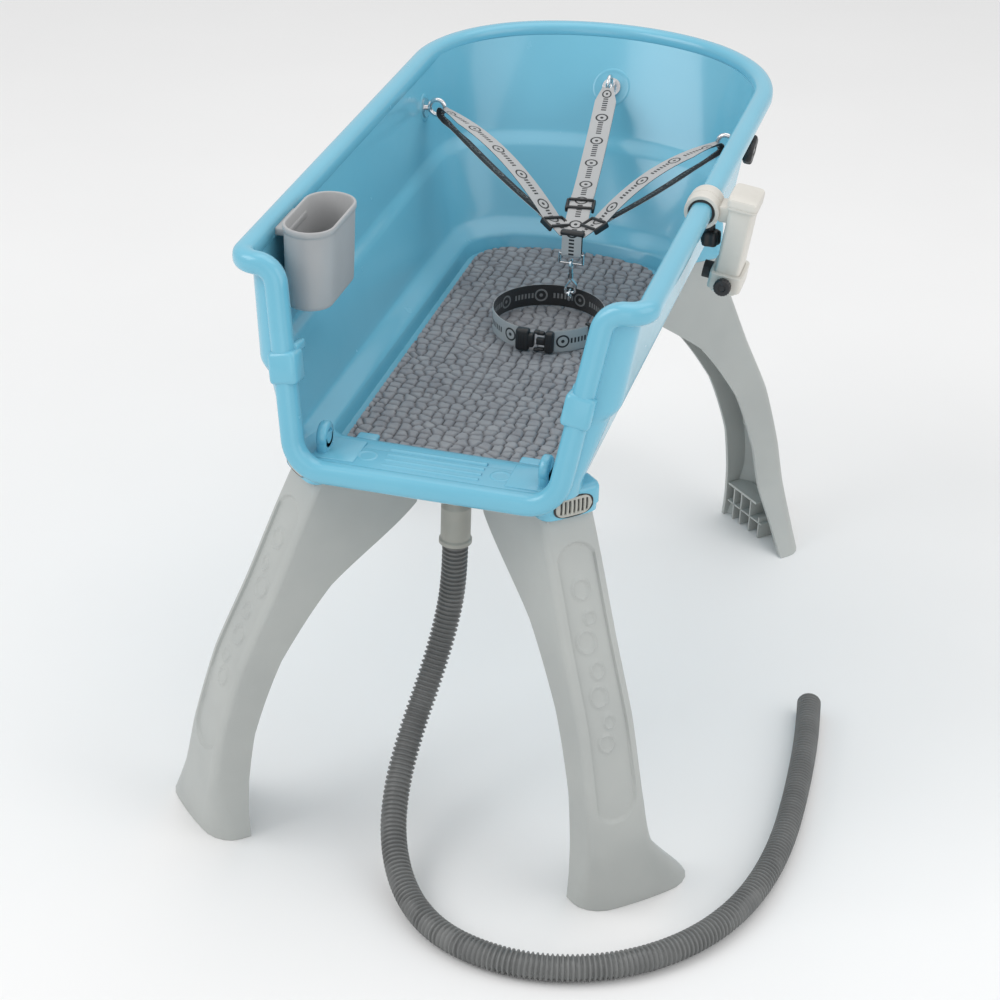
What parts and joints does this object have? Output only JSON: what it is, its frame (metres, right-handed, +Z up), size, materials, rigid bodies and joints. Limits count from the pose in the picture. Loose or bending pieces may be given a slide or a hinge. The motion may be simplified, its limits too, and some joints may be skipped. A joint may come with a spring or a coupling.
{
  "type": "pet bathtub",
  "caption": "Raised open-front pet bathtub on four arched legs, with floor mat, bottom drain and hose, harness with collar, bottle caddy and rim clamp.",
  "frame": {"origin": "on the floor under the middle of the tub and legs, hose left out", "axes": "+Z up, +Y from the open front to the round back, +X to the right as seen from the front"},
  "size_m": [0.6522, 1.018, 0.6411],
  "materials": {
    "tub_plastic": "gloss",
    "mat_rubber": "matte",
    "drain_plastic": "matte",
    "metal": "polished",
    "black_rubber": "matte",
    "hose_plastic": "satin",
    "leg_plastic": "satin",
    "button_plastic": "satin",
    "black_plastic": "satin",
    "webbing": "woven",
    "clamp_plastic": "satin",
    "caddy_plastic": "satin"
  },
  "bodies": {
    "tub": {"tub_shell": "tub_plastic", "floor_mat": "mat_rubber", "drain_strainer": "metal", "drain_gasket": "black_rubber", "drain_locknut": "drain_plastic", "drain_spout": "drain_plastic", "hose_coupling": "drain_plastic", "drain_hose": "hose_plastic", "leg_front_right": "leg_plastic", "leg_front_left": "leg_plastic", "leg_back_right": "leg_plastic", "leg_back_left": "leg_plastic", "eye_bolt_left": "metal", "eye_washer_left": "metal", "strap_left": "webbing", "slide_adjuster_left": "black_plastic", "eye_bolt_right": "metal", "eye_washer_right": "metal", "strap_right": "webbing", "slide_adjuster_right": "black_plastic", "eye_bolt_back": "metal", "eye_washer_back": "metal", "strap_back": "webbing", "slide_adjuster_back": "black_plastic", "centre_tab": "webbing", "centre_ring": "metal", "hook_swivel": "metal", "clamp_liner": "black_rubber", "clamp_ring": "clamp_plastic", "clamp_neck": "clamp_plastic", "drop_tube": "clamp_plastic", "tube_cap": "clamp_plastic"},
    "button_front_right": {"leg_button_front_right": "button_plastic"},
    "button_front_left": {"leg_button_front_left": "button_plastic"},
    "button_back_right": {"leg_button_back_right": "button_plastic"},
    "button_back_left": {"leg_button_back_left": "button_plastic"},
    "star_left": {"star_knob_left": "black_plastic"},
    "star_right": {"star_knob_right": "black_plastic"},
    "star_back": {"star_knob_back": "black_plastic"},
    "clamp_knob": {"clamp_knob": "black_plastic"},
    "slider": {"tube_slider": "clamp_plastic", "foot_pad": "black_rubber"},
    "thumb_screw": {"thumb_screw": "black_plastic"},
    "caddy": {"caddy": "caddy_plastic"},
    "collar": {"hook_body": "metal", "collar_strap": "webbing", "buckle_socket": "black_plastic", "buckle_plug": "black_plastic", "collar_ring": "metal"},
    "gate": {"hook_gate": "metal"}
  },
  "joints": [
    {"name": "button_front_right_press", "type": "slide", "parent": "tub", "child": "button_front_right", "axis": [-0.7071, 0.7071, 0], "range_m": [0, 0.004], "stiffness_N_per_m": 900, "springref_m": -0.002},
    {"name": "button_front_left_press", "type": "slide", "parent": "tub", "child": "button_front_left", "axis": [0.7071, 0.7071, 0], "range_m": [0, 0.004], "stiffness_N_per_m": 900, "springref_m": -0.002},
    {"name": "button_back_right_press", "type": "slide", "parent": "tub", "child": "button_back_right", "axis": [-0.7071, -0.7071, 0], "range_m": [0, 0.004], "stiffness_N_per_m": 900, "springref_m": -0.002},
    {"name": "button_back_left_press", "type": "slide", "parent": "tub", "child": "button_back_left", "axis": [0.7071, -0.7071, 0], "range_m": [0, 0.004], "stiffness_N_per_m": 900, "springref_m": -0.002},
    {"name": "star_left_turn", "type": "hinge", "parent": "tub", "child": "star_left", "pos_m": [-0.18412, 0.22167, 0.577], "axis": [0.9903, 0, 0.1386], "continuous": true},
    {"name": "star_right_turn", "type": "hinge", "parent": "tub", "child": "star_right", "pos_m": [0.18412, 0.22167, 0.577], "axis": [-0.9903, 0, 0.1386], "continuous": true},
    {"name": "star_back_turn", "type": "hinge", "parent": "tub", "child": "star_back", "pos_m": [0, 0.38567, 0.569], "axis": [0, -0.8346, 0.5508], "continuous": true},
    {"name": "clamp_knob_turn", "type": "hinge", "parent": "tub", "child": "clamp_knob", "pos_m": [0.2075, -0.06933, 0.59], "axis": [0, 0, 1], "continuous": true},
    {"name": "slider_slide", "type": "slide", "parent": "tub", "child": "slider", "axis": [0.1392, 0, 0.9903], "range_m": [0, 0.015]},
    {"name": "thumb_screw_turn", "type": "hinge", "parent": "slider", "child": "thumb_screw", "pos_m": [0.22901, -0.06933, 0.54877], "axis": [0, -1, 0], "continuous": true},
    {"name": "caddy_lift", "type": "slide", "parent": "tub", "child": "caddy", "axis": [0, 0, 1], "range_m": [0, 0.1]},
    {"name": "hook_turn", "type": "hinge", "parent": "tub", "child": "collar", "pos_m": [0.033, 0.06567, 0.46], "axis": [0, 0, 1], "range_deg": [-20, 20]},
    {"name": "gate_open", "type": "hinge", "parent": "collar", "child": "gate", "pos_m": [0.028, 0.06567, 0.4472], "axis": [0, 1, 0], "range_deg": [0, 18], "stiffness_Nm_per_rad": 0.02, "springref_deg": -11.46}
  ]
}
